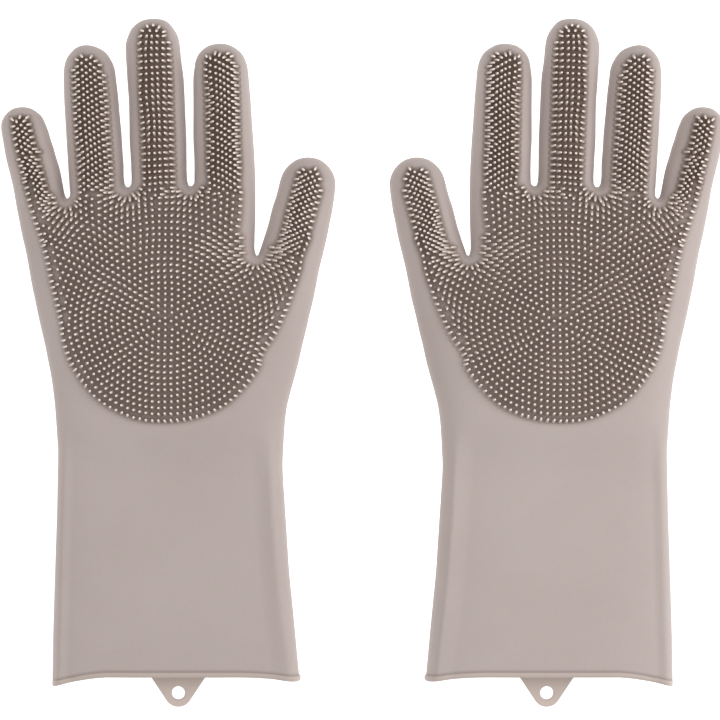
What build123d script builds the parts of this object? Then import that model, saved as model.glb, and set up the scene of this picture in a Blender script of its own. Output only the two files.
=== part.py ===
"""Pair of silicone pet-grooming gloves lying palm up, fingers towards +Y.

Units are millimetres. +Z is up, out of the palms. The origin is the bottom centre of the
pair's bounding box: X = 0 is the mirror plane between the two gloves, Y = 0 is half way
between the middle fingertips and the ends of the hang tabs, Z = 0 is the surface that the
backs of the gloves lie on.

Each glove is one flexible moulding. It is divided at its flex lines, so that every
finger section, the palm and the sleeve is a rigid solid, and the silicone that bends
between two of them is a flex band. The bristle fields are closed blankets as high as the
bristles. The left glove is modelled, and the right glove is its mirror image.
"""
from build123d import *
import math
import os

os.makedirs("parts", exist_ok=True)

# ---- driving dimensions ----
WALL = 2.0                # wall at the sides of the stalls, palm and sleeve
BRISTLE_H = 4.2           # bristle length
GAP = 0.12                # clearance between a bristle blanket and the wall under it

# Fingers: tip centre (x, y), lean of the axis from -Y in degrees, half width at the tip
# centre and at the web, height over width, stations along the axis from the tip centre:
# tip stall ends, base stall starts, base stall ends, web.
FINGERS = {
    "little": dict(c=(-171.50, 119.98), lean=12.9, r0=11.3, r1=12.4, k=0.78, st=(10.0, 20.0, 29.6, 39.6), pad=38),
    "ring":   dict(c=(-138.80, 149.30), lean=3.7,  r0=13.1, r1=14.0, k=0.74, st=(18.0, 30.0, 47.8, 59.8), pad=38),
    "middle": dict(c=(-106.30, 161.80), lean=1.9,  r0=13.8, r1=14.2, k=0.73, st=(26.0, 38.0, 59.8, 71.8), pad=38),
    "index":  dict(c=(-71.40, 149.30),  lean=1.6,  r0=13.4, r1=15.3, k=0.70, st=(17.5, 29.5, 47.4, 59.4), pad=38),
    "thumb":  dict(c=(-27.50, 90.40),   lean=-12.7, r0=13.5, r1=15.9, k=0.70, st=(11.0, 21.5, 31.0, 41.5), pad=38),
}

# Palm: (y, left x, right x, height) from the wrist to the finger webs.
PALM = [
    (-35.3, -155.3, -39.8, 24.0),
    (-14.9, -156.8, -37.7, 24.0),
    (10.6, -161.4, -35.7, 24.0),
    (36.1, -166.8, -45.9, 23.5),
    (56.5, -170.9, -54.6, 23.0),
    (77.6, -174.6, -54.6, 21.5),
    (86.6, -151.6, -54.6, 21.0),
    (88.4, -149.4, -54.8, 20.7),
]
THUMB_ROOT = (41.5, 124.0)        # stations of the thumb's root inside the palm
FINGER_ROOT = 22.0                # how far a finger's root runs into the palm

# Sleeve: (y, left x, right x, bottom z, height) from the wrist to the cuff.
WRIST_Y = (-35.3, -51.6)
SLEEVE = [
    (-51.6, -154.8, -40.8, 0.0, 24.4),
    (-76.1, -155.3, -39.5, 0.2, 25.6),
    (-106.7, -156.1, -37.0, 0.5, 27.2),
    (-137.3, -156.6, -34.2, 0.8, 28.8),
    (-155.4, -157.1, -32.2, 1.0, 30.0),
]
RIM_Y = (-155.4, -159.4)          # the cuff's rim bead
RIM_PROUD = 1.0
RIM_X = (-157.4, -31.8)
RIM_H = 30.2

# Hang tab
TAB_X, TAB_Y = -94.80, -170.10    # centre of the hang hole
TAB_R = 7.20                      # radius of the tab's round end
HOLE_R = 3.35
TAB_T = 2.4
TAB_TOP_HALF = 14.6

# Bristle field on the palm: a disc, cut off a margin inside the palm's outline
FIELD_C, FIELD_R = (-96.9, 31.0), 61.5
FIELD_OUTLINE = [
    (-148, -35.3), (-149.6, -14.9), (-154, 10.6), (-159, 36.1), (-163.2, 56.5), (-165.6, 70.6),
    (-151.0, 74.0), (-148.0, 84.0), (-61.6, 84.0), (-61.6, 50.5), (-58.0, 47.0), (-41.0, 44.0),
    (-40.0, 20.0), (-47.5, -14.9), (-46.0, -35.3),
]
FIELD_ROOTS = [
    (-165.6, 56.0), (-163.0, 70.6), (-151.0, 74.0), (-148.0, 84.0), (-61.6, 84.0), (-61.6, 48.0),
]


# ---- helpers ----
def slot(y, x0, x1, z0, h, inset=0.0):
    """Flattened oval section of the glove across Y."""
    w, hh = x1 - x0 - 2 * inset, h - 2 * inset * 0.8
    plane = Plane(origin=((x0 + x1) / 2, y, z0 + h / 2), x_dir=(1, 0, 0), z_dir=(0, -1, 0))
    return plane * SlotOverall(w, hh)


def tube(rows, inset=0.0):
    """Ruled skin through (y, x0, x1, z0, h) rows."""
    return loft([slot(y, a, b, z, h, inset) for y, a, b, z, h in rows], ruled=True)


def radius(f, s):
    return f["r0"] + (f["r1"] - f["r0"]) * max(s, 0.0) / f["st"][3]


def place(shape, f, flatten=True):
    """From the finger's own frame (tip centre at the origin, root towards -Y) to the glove."""
    zc = f["k"] * f["r1"]
    flat = scale(shape, by=(1, 1, f["k"])) if flatten else shape
    return Pos(f["c"][0], f["c"][1], zc) * (Rot(0, 0, f["lean"]) * flat)


def cone(f, s0, s1, r0, r1):
    """Solid length of flattened finger between two stations, already flattened."""
    ends = [Plane(origin=(0, -s, 0), x_dir=(1, 0, 0), z_dir=(0, -1, 0)) * Ellipse(r, r * f["k"]) for s, r in ((s0, r0), (s1, r1))]
    return loft(ends, ruled=True)


def ring(f, s0, s1, r_out=None, solid=False, inner=False):
    """A length of finger tube between two stations, walls only, or the whole, or its inside."""
    ro0, ro1 = (radius(f, s0), radius(f, s1)) if r_out is None else r_out
    if solid:
        return cone(f, s0, s1, ro0, ro1)
    core = cone(f, s0, s1, ro0 - WALL, ro1 - WALL)
    if inner:
        return core
    return only(cone(f, s0, s1, ro0, ro1) - core)


def tip(f):
    """The closed fingertip stall."""
    s1, r0 = f["st"][0], f["r0"]
    ri, c = r0 - WALL, math.sqrt(0.5)
    r1 = radius(f, s1)
    outline = [
        Line((r1 - WALL, -s1), (r1, -s1)),
        Line((r1, -s1), (r0, 0)),
        ThreePointArc((r0, 0), (r0 * c, r0 * c), (0, r0)),
        Line((0, r0), (0, ri)),
        ThreePointArc((0, ri), (ri * c, ri * c), (ri, 0)),
        Line((ri, 0), (r1 - WALL, -s1)),
    ]
    return revolve(make_face(outline), Axis.Y, 360)


def blanket(f, s0, s1, round_end):
    """Bristle blanket over the palm side of a finger between two stations."""
    lift, thick, half = GAP / f["k"], BRISTLE_H / f["k"], f["pad"]
    a0, a1 = radius(f, s0) + lift, radius(f, s1) + lift
    if round_end:
        r0, reach = f["r0"] + lift, math.radians(38)
        r = r0 + thick
        m = reach / 2
        outline = [
            Line((a1, -s1), (a1 + thick, -s1)),
            Line((a1 + thick, -s1), (r, 0)),
            ThreePointArc((r, 0), (r * math.cos(m), r * math.sin(m)), (r * math.cos(reach), r * math.sin(reach))),
            Line((r * math.cos(reach), r * math.sin(reach)), (r0 * math.cos(reach), r0 * math.sin(reach))),
            ThreePointArc((r0 * math.cos(reach), r0 * math.sin(reach)), (r0 * math.cos(m), r0 * math.sin(m)), (r0, 0)),
            Line((r0, 0), (a1, -s1)),
        ]
        face = make_face(outline)
    else:
        face = make_face(Polyline((a0, -s0), (a0 + thick, -s0), (a1 + thick, -s1), (a1, -s1), close=True))
    return Rot(0, -(90 + half), 0) * revolve(face, Axis.Y, 2 * half)


def only(shape):
    """The largest solid of a result."""
    return max(shape.solids(), key=lambda s: s.volume)


# ---- palm ----
def palm_parts():
    rows = [(y, a, b, 0.0, h) for y, a, b, h in PALM]
    outer = tube(rows)
    inner_rows = [(-36.8, -155.3, -39.8, 0.0, 24.0)] + rows[1:5] + [
        (75.6, -174.2, -54.6, 0.0, 21.6), (84.4, -151.0, -54.6, 0.0, 21.1), (86.4, -149.0, -54.8, 0.0, 20.8)]
    inner = tube(inner_rows, WALL)
    for name, f in FINGERS.items():
        web = f["st"][3]
        if name == "thumb":
            a, b = THUMB_ROOT
            ends = (f["r1"], 15.4)
        else:
            a, b = web, web + FINGER_ROOT
            ends = (f["r1"], f["r1"])
        outer = outer + place(ring(f, a, b, ends, solid=True), f, False)
        inner = inner + place(ring(f, a - 1.0, b - 3.0, ends, inner=True), f, False)
    f = FINGERS["little"]
    lane = Box(2 * (f["r1"] + 1.0), 30, 80, align=(Align.CENTER, Align.MIN, Align.CENTER))
    outer = outer - Pos(f["c"][0], f["c"][1], 0) * (Rot(0, 0, f["lean"]) * (Pos(0, -f["st"][3], 0) * lane))
    return only(outer), only(outer - inner)


def palm_blanket(outer):
    """The bristle field: the palm's own skin raised by the bristle length, inside the field's outline."""
    disc = extrude(Pos(FIELD_C[0], FIELD_C[1]) * Circle(FIELD_R), 60)
    outline = extrude(make_face(Polyline(*FIELD_OUTLINE, close=True)), 60)
    roots = extrude(make_face(Polyline(*FIELD_ROOTS, close=True)), 60)
    region = (outline & disc) + roots
    raised = Pos(0, 0, BRISTLE_H + GAP) * outer
    cover = (raised - (Pos(0, 0, GAP) * outer)) & region
    cover = cover & (Pos(-100, 20, 12.0 + 40) * Box(300, 300, 80))
    return only(cover)


# ---- sleeve ----
def sleeve_part():
    rows = SLEEVE
    ext = [(rows[0][0] + 1.0,) + rows[0][1:]] + rows[1:-1] + [(rows[-1][0] - 1.0,) + rows[-1][1:]]
    return only(tube(rows) - tube(ext, WALL))


def wrist_part():
    y0, y1 = WRIST_Y
    mid = ((y0 + y1) / 2, -154.9, -40.8, 0.0, 24.0)
    rows = [(y0, -155.3, -39.8, 0.0, 24.0), mid, SLEEVE[0]]
    ext = [(y0 + 1.0,) + rows[0][1:], mid, (y1 - 1.0,) + SLEEVE[0][1:]]
    return only(tube(rows) - tube(ext, WALL))


def rim_part():
    y0, y1 = RIM_Y
    z0, h = 1.0 - RIM_PROUD, RIM_H + 2 * RIM_PROUD - 0.2
    a, b = RIM_X[0] - RIM_PROUD + 0.3, RIM_X[1] + RIM_PROUD - 0.3
    bead = tube([(y0, a, b, z0, h), (y1, a, b, z0, h)])
    last = SLEEVE[-1]
    bore = tube([(y0 + 1.0,) + last[1:], (y1 - 1.0,) + last[1:]], WALL)
    bead = bead - bore
    # hang tab, a flat lug that runs out of the rim's underside
    cx, cy, r = TAB_X, TAB_Y, TAB_R
    px, py = cx - TAB_TOP_HALF, RIM_Y[1] + 2.2
    d = math.hypot(px - cx, py - cy)
    base = math.atan2(py - cy, px - cx)
    t = base + math.acos(r / d)
    tx, ty = cx + r * math.cos(t), cy + r * math.sin(t)
    mx = 2 * cx - tx
    outline = [
        Line((px, py), (tx, ty)),
        ThreePointArc((tx, ty), (cx, cy - r), (mx, ty)),
        Line((mx, ty), (2 * cx - px, py)),
        Line((2 * cx - px, py), (px, py)),
    ]
    tab = extrude(make_face(outline), TAB_T)
    tab = tab - Pos(cx, cy, -1) * extrude(Circle(HOLE_R), TAB_T + 2)
    return only(bead + tab)


# ---- write ----
def write(name, shape):
    for side in ("left", "right"):
        out = shape if side == "left" else mirror(shape, about=Plane.YZ)
        export_step(out, f"parts/{side}_{name}.step")


palm_outer, palm_shell = palm_parts()
write("palm_shell", palm_shell)
write("palm_bristles", palm_blanket(palm_outer))
write("wrist_flex", wrist_part())
write("sleeve", sleeve_part())
write("cuff_rim", rim_part())
for name, f in FINGERS.items():
    s_tip, s_base0, s_base1, s_web = f["st"]
    write(f"{name}_tip_stall", place(tip(f), f))
    write(f"{name}_base_stall", place(ring(f, s_base0, s_base1), f, False))
    bands = [place(ring(f, s_tip, s_base0), f, False), place(ring(f, s_base1, s_web), f, False)]
    write(f"{name}_flex", Compound(children=bands))
    write(f"{name}_tip_bristles", place(blanket(f, 0, s_tip - 3.0, True), f))
    write(f"{name}_base_bristles", place(blanket(f, s_base0 + 2.6, s_base1 - 2.6, False), f))
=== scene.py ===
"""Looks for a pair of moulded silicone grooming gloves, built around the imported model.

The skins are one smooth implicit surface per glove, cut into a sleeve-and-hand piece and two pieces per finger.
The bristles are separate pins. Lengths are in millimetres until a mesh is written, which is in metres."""
import math
import bpy
import numpy as np
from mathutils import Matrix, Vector


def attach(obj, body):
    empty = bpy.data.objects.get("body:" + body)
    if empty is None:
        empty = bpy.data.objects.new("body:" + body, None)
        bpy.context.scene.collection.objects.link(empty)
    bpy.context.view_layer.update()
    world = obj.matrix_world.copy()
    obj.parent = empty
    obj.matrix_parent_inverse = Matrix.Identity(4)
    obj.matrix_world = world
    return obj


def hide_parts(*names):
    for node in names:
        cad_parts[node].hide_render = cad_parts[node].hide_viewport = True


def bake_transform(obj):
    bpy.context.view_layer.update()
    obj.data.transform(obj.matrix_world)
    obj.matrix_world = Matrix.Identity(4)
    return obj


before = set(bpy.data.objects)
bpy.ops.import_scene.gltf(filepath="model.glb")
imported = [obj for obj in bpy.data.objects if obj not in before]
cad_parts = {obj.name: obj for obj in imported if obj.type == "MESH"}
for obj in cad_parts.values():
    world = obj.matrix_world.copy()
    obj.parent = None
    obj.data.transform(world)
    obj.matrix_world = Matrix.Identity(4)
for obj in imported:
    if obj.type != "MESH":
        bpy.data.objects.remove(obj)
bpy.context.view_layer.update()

RNG = np.random.default_rng(7)

# ------------------------------------------------------------------ design numbers (mm)
WALL = 2.0
LAMBDA = 10.0            # how quickly the hollow hand reaches its full thickness from its edge
Y_CUT = -156.9           # the open end of the sleeve, inside the rim bead
PIN_H = 4.2              # bristle length
PIN_R0, PIN_R1 = 0.80, 0.52
MARGIN = 5.6             # smooth border between the outline and the bristle roots

# Outline of the left glove, from the cuff's outer corner up round the little finger to the cuff again.
OUTLINE = [
    (-158.7, -190.0), (-158.4, -172.0), (-158.3, -162.0), (-158.1, -151.8), (-157.8, -136.5), (-157.3, -121.2),
    (-156.8, -105.9), (-156.3, -90.6), (-155.8, -75.3), (-155.5, -60.0), (-155.3, -44.7), (-155.8, -37.1),
    (-156.3, -29.4), (-156.9, -21.8), (-157.8, -14.1), (-158.9, -6.5), (-160.4, 1.2), (-161.9, 8.8), (-163.7, 16.5),
    (-165.4, 24.1), (-167.0, 31.8), (-168.6, 39.4), (-170.1, 48.1), (-171.6, 56.3), (-173.5, 64.4), (-175.2, 72.6),
    (-176.8, 80.7), (-178.3, 88.9), (-180.3, 97.1), (-182.3, 105.2), (-183.7, 113.4), (-184.4, 117.5),
    (-184.6, 121.5), (-183.1, 125.6), (-178.9, 129.4), (-173.7, 130.4), (-169.3, 129.6), (-164.2, 125.9),
    (-161.9, 121.5), (-160.4, 117.5), (-159.2, 113.4), (-157.8, 109.3), (-156.7, 105.2), (-155.4, 101.1),
    (-154.3, 97.1), (-153.5, 93.0), (-152.7, 88.9), (-151.9, 85.3), (-150.5, 83.4), (-149.4, 85.6), (-149.6, 88.9),
    (-150.2, 97.1), (-150.7, 105.2), (-151.2, 113.4), (-151.7, 121.5), (-152.2, 129.7), (-152.6, 137.9),
    (-152.7, 142.0), (-152.6, 149.1), (-151.6, 154.2), (-149.0, 158.3), (-145.6, 161.1), (-141.2, 162.1),
    (-136.4, 161.2), (-131.5, 158.5), (-128.4, 154.2), (-126.7, 150.1), (-126.1, 146.0), (-125.6, 142.0),
    (-125.1, 137.9), (-124.7, 133.8), (-124.0, 125.6), (-123.2, 117.5), (-122.7, 109.3), (-122.1, 101.1),
    (-121.9, 94.0), (-121.1, 90.4), (-119.7, 89.2), (-118.4, 90.5), (-118.0, 94.0), (-118.1, 97.1), (-118.5, 105.2),
    (-119.0, 113.4), (-119.1, 121.5), (-119.4, 133.8), (-120.0, 141.9), (-120.5, 150.1), (-121.0, 158.3),
    (-121.0, 162.3), (-119.9, 166.4), (-117.9, 170.5), (-113.3, 174.3), (-106.8, 175.6), (-100.5, 174.4),
    (-96.6, 170.5), (-94.3, 166.4), (-93.4, 162.3), (-92.6, 154.2), (-91.5, 146.0), (-91.0, 137.9), (-90.5, 125.6),
    (-90.0, 113.4), (-89.9, 103.2), (-89.7, 95.0), (-89.0, 90.9), (-87.8, 89.7), (-86.3, 90.9), (-85.9, 95.0),
    (-86.0, 105.2), (-86.4, 113.4), (-86.4, 129.7), (-86.4, 146.0), (-85.9, 150.1), (-85.2, 154.2), (-83.1, 158.3),
    (-78.5, 161.8), (-72.5, 162.8), (-68.1, 162.1), (-62.2, 158.3), (-59.8, 154.2), (-58.7, 150.1), (-57.9, 141.9),
    (-57.2, 133.8), (-56.4, 121.5), (-55.5, 109.3), (-54.8, 93.0), (-54.8, 72.6), (-55.1, 62.4), (-55.0, 56.8),
    (-53.8, 54.0), (-52.6, 56.5), (-51.3, 60.3), (-50.0, 64.4), (-48.7, 68.5), (-47.6, 72.6), (-46.6, 76.7),
    (-45.5, 80.7), (-44.1, 84.8), (-43.0, 88.9), (-42.0, 93.0), (-40.4, 97.1), (-37.2, 101.1), (-32.9, 103.8),
    (-27.8, 104.7), (-22.7, 103.8), (-18.4, 101.1), (-15.4, 97.1), (-14.0, 93.0), (-14.0, 88.9), (-14.4, 84.8),
    (-15.0, 80.7), (-15.6, 76.7), (-16.5, 72.6), (-18.1, 64.4), (-20.0, 56.3), (-22.0, 48.1), (-23.7, 39.4),
    (-25.2, 31.8), (-27.1, 24.1), (-28.8, 16.5), (-30.7, 8.8), (-32.4, 1.2), (-34.4, -6.5), (-36.5, -14.1),
    (-38.4, -21.8), (-39.5, -29.4), (-40.1, -37.1), (-40.5, -44.7), (-40.8, -52.4), (-40.5, -60.0), (-40.0, -67.7),
    (-39.5, -75.3), (-38.5, -90.6), (-37.5, -105.9), (-36.0, -121.2), (-34.4, -136.5), (-32.9, -151.8),
    (-31.9, -161.0), (-30.6, -172.2), (-28.8, -190.0),
]

# Fingers: tip centre, lean of the axis in degrees, stations from the tip centre of the tip
# stall's end, the base stall's two ends and the web, as the joints have them.
FINGERS = {
    "little": dict(c=(-171.50, 119.98), lean=12.9, st=(10.0, 20.0, 29.6, 39.6)),
    "ring":   dict(c=(-138.80, 149.30), lean=3.7, st=(18.0, 30.0, 47.8, 59.8)),
    "middle": dict(c=(-106.30, 161.80), lean=1.9, st=(26.0, 38.0, 59.8, 71.8)),
    "index":  dict(c=(-71.40, 149.30), lean=1.6, st=(17.5, 29.5, 47.4, 59.4)),
    "thumb":  dict(c=(-27.50, 90.40), lean=-12.7, st=(11.0, 21.5, 31.0, 41.5)),
}
for f in FINGERS.values():
    a = math.radians(f["lean"])
    f["down"] = np.array([math.sin(a), -math.cos(a)])      # from the tip towards the root
    f["side"] = np.array([math.cos(a), math.sin(a)])
    f["c"] = np.array(f["c"])


def local(f, xy):
    """Station from the tip centre, and sideways distance from the axis."""
    d = xy - f["c"]
    return d @ f["down"], d @ f["side"]


def smooth(x, a, b):
    t = np.clip((x - a) / (b - a), 0, 1)
    return t * t * (3 - 2 * t)


# ------------------------------------------------------------------ the outline as a fine loop
def spline_loop(pts, step, closed=True):
    """Centripetal Catmull-Rom through the points, sampled at about the step."""
    p = np.array(pts, float)
    n = len(p)
    out = []
    for i in range(n if closed else n - 1):
        if closed:
            q = [p[(i - 1) % n], p[i], p[(i + 1) % n], p[(i + 2) % n]]
        else:
            q = [p[max(i - 1, 0)], p[i], p[i + 1], p[min(i + 2, n - 1)]]
        t = [0.0]
        for k in range(3):
            t.append(t[-1] + max(np.linalg.norm(q[k + 1] - q[k]), 1e-6) ** 0.5)
        m = max(2, int(round(np.linalg.norm(q[2] - q[1]) / step)))
        for u in np.linspace(t[1], t[2], m, endpoint=False):
            a1 = ((t[1] - u) * q[0] + (u - t[0]) * q[1]) / (t[1] - t[0])
            a2 = ((t[2] - u) * q[1] + (u - t[1]) * q[2]) / (t[2] - t[1])
            a3 = ((t[3] - u) * q[2] + (u - t[2]) * q[3]) / (t[3] - t[2])
            b1 = ((t[2] - u) * a1 + (u - t[0]) * a2) / (t[2] - t[0])
            b2 = ((t[3] - u) * a2 + (u - t[1]) * a3) / (t[3] - t[1])
            out.append(((t[2] - u) * b1 + (u - t[1]) * b2) / (t[2] - t[1]))
    return np.array(out)


def smooth_loop(p, rounds):
    """Light smoothing that keeps the size: one step in, one step out."""
    for _ in range(rounds):
        for k in (0.5, -0.53):
            p = p + k * (0.5 * (np.roll(p, 1, 0) + np.roll(p, -1, 0)) - p)
    return p


LOOP = smooth_loop(spline_loop(OUTLINE, 0.9), 12)
LOOP = LOOP * (1 - (1.05 + 3.0 * smooth(LOOP[:, 1], -50, -160)) / 1020)[:, None]    # the edge rises with the thicker cuff
FLASH = 0.22             # how far the parting line stands out of the skin
_d = np.roll(LOOP, -1, 0) - np.roll(LOOP, 1, 0)
LOOP = LOOP - FLASH * np.column_stack([-_d[:, 1], _d[:, 0]]) / np.linalg.norm(_d, axis=1)[:, None]


def signed_distance(xy):
    """Distance to the outline, positive inside, and the nearest point on it."""
    a, b = LOOP, np.roll(LOOP, -1, 0)
    near = np.empty(len(xy), int)
    for s in range(0, len(xy), 4000):
        q = xy[s:s + 4000].astype(np.float32)
        d = ((q[:, None, :] - a[None].astype(np.float32)) ** 2).sum(-1)
        near[s:s + 4000] = d.argmin(1)
    best = np.full(len(xy), 1e18)
    foot = np.zeros_like(xy)
    sign = np.ones(len(xy))
    for k in (-1, 0):
        i = (near + k) % len(a)
        e = b[i] - a[i]
        t = np.clip(((xy - a[i]) * e).sum(1) / (e ** 2).sum(1), 0, 1)
        c = a[i] + t[:, None] * e
        d = ((xy - c) ** 2).sum(1)
        cross = e[:, 0] * (xy - c)[:, 1] - e[:, 1] * (xy - c)[:, 0]
        better = d < best
        best = np.where(better, d, best)
        foot = np.where(better[:, None], c, foot)
        sign = np.where(better, np.where(cross < 0, 1.0, -1.0), sign)
    return np.sqrt(best) * sign, foot


# ------------------------------------------------------------------ inflation field on a grid
H2 = 0.75
GX0, GY0 = -190.0, -190.0
NX, NY = int(round(196 / H2)) + 1, int(round(372 / H2)) + 1


def relax():
    """Screened Poisson inflation: 0 on the outline, close to 1 well inside it."""
    x = GX0 + H2 * np.arange(NX)
    y = GY0 + H2 * np.arange(NY)
    xy = np.stack(np.meshgrid(x, y, indexing="ij"), -1).reshape(-1, 2)
    d, foot = signed_distance(xy)
    d, foot = d.reshape(NX, NY), foot.reshape(NX, NY, 2)
    # the sleeve's open end isn't an edge: there the distance is to the sides only
    inside = d > 0
    inside[:, 0] = inside[:, -1] = False
    inside[0] = inside[-1] = False
    csum = np.zeros((NX, NY))
    for ax, sh in ((0, 1), (0, -1), (1, 1), (1, -1)):
        dn = np.roll(d, sh, ax)
        theta = np.clip(d / np.where(np.abs(d - dn) < 1e-9, 1e-9, d - dn), 0.08, 1)
        csum += np.where(dn > 0, 1.0, 1.0 / theta)
    k = (H2 / LAMBDA) ** 2
    u = np.where(inside, 1 - np.exp(-np.maximum(d, 0) / LAMBDA), 0.0)
    par = (np.add.outer(np.arange(NX), np.arange(NY)) % 2).astype(bool)
    w = 1.75
    for it in range(220):
        for colour in (par, ~par):
            s = np.zeros_like(u)
            s[1:-1, 1:-1] = u[2:, 1:-1] + u[:-2, 1:-1] + u[1:-1, 2:] + u[1:-1, :-2]
            new = (s + k) / (csum + k)
            u = np.where(inside & colour, u + w * (new - u), u)
    # odd extension across the outline, so that the surface passes smoothly over its edge
    out = (d <= 0) | (d < 0.35 * H2)
    n = foot.reshape(-1, 2) - xy
    n = n / np.maximum(np.linalg.norm(n, axis=1), 1e-9)[:, None]
    n = np.where((d.reshape(-1) > 0)[:, None], -n, n)
    deep = np.maximum(np.abs(d.reshape(-1)), 1.3 * H2)
    m = foot.reshape(-1, 2) + n * deep[:, None]
    um = bilinear(u, m)
    ext = um / deep * d.reshape(-1)
    u = np.where(out, ext.reshape(NX, NY), u)
    return np.clip(u, -1.5, 2), d


def bilinear(g, xy):
    fx = np.clip((xy[:, 0] - GX0) / H2, 0, NX - 1.001)
    fy = np.clip((xy[:, 1] - GY0) / H2, 0, NY - 1.001)
    i, j = fx.astype(int), fy.astype(int)
    a, b = fx - i, fy - j
    return (g[i, j] * (1 - a) * (1 - b) + g[i + 1, j] * a * (1 - b) + g[i, j + 1] * (1 - a) * b + g[i + 1, j + 1] * a * b)


def bspline(g, xy):
    """Cubic B-spline sampling: smooth to the second derivative."""
    fx = np.clip((xy[:, 0] - GX0) / H2, 1.001, NX - 2.001)
    fy = np.clip((xy[:, 1] - GY0) / H2, 1.001, NY - 2.001)
    i, j = fx.astype(int), fy.astype(int)

    def w(t):
        return [(1 - t) ** 3 / 6, (3 * t ** 3 - 6 * t ** 2 + 4) / 6, (-3 * t ** 3 + 3 * t ** 2 + 3 * t + 1) / 6, t ** 3 / 6]
    wx, wy = w(fx - i), w(fy - j)
    r = 0
    for a in range(4):
        for b in range(4):
            r = r + g[i + a - 1, j + b - 1] * wx[a] * wy[b]
    return r


U, D = relax()


# ------------------------------------------------------------------ the glove's surface
def thick(xy):
    """Half thickness where the glove is wide, and the height of the middle plane."""
    x, y = xy[:, 0], xy[:, 1]
    a = 12.0 + 3.0 * smooth(y, -50, -160)
    zc = a + 0.05
    up = smooth(y, 62, 100) * smooth(x, -50, -60)
    s, t = local(FINGERS["thumb"], xy)
    th = smooth(s, 60, 25) * smooth(x, -62, -46)
    lift = np.maximum(up, th)
    a = a + 0.9 * lift
    zc = zc - 1.75 * lift
    return a, zc


CREASE_R = np.array([(-47.5, -25.0), (-46.0, -52.0), (-44.5, -82.0), (-41.5, -115.0), (-37.5, -145.0), (-34.5, -168.0)])
CREASE_L = np.array([(-152.0, -30.0), (-152.0, -60.0), (-152.8, -100.0), (-153.6, -140.0), (-154.2, -168.0)])


def panel(xy):
    """How far the front of the sleeve sinks inside the soft ridges along its sides."""
    x, y = xy[:, 0], xy[:, 1]
    xr = np.interp(-y, -CREASE_R[:, 1], CREASE_R[:, 0])
    xl = np.interp(-y, -CREASE_L[:, 1], CREASE_L[:, 0])
    run = smooth(y, -26, -62)
    sink = smooth(xr - x, 0.0, 10.5) * smooth(x - xl, 0.0, 6.0)
    ridge = np.exp(-((x - xr) / 2.6) ** 2) * 1.0 + np.exp(-((x - xl) / 1.8) ** 2) * 0.4
    return run * (4.1 * sink - ridge)


def implicit(p):
    xy = p[:, :2]
    a, zc = thick(xy)
    q = (p[:, 2] - zc) / a
    top = smooth(q, 0.15, 0.85)
    q = (p[:, 2] - zc + panel(xy) * top) / a
    return q * q - bspline(U, xy)


def gradient(p, e=0.05):
    g = np.empty_like(p)
    for k in range(3):
        d = np.zeros(3)
        d[k] = e
        g[:, k] = (implicit(p + d) - implicit(p - d)) / (2 * e)
    return g


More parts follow.
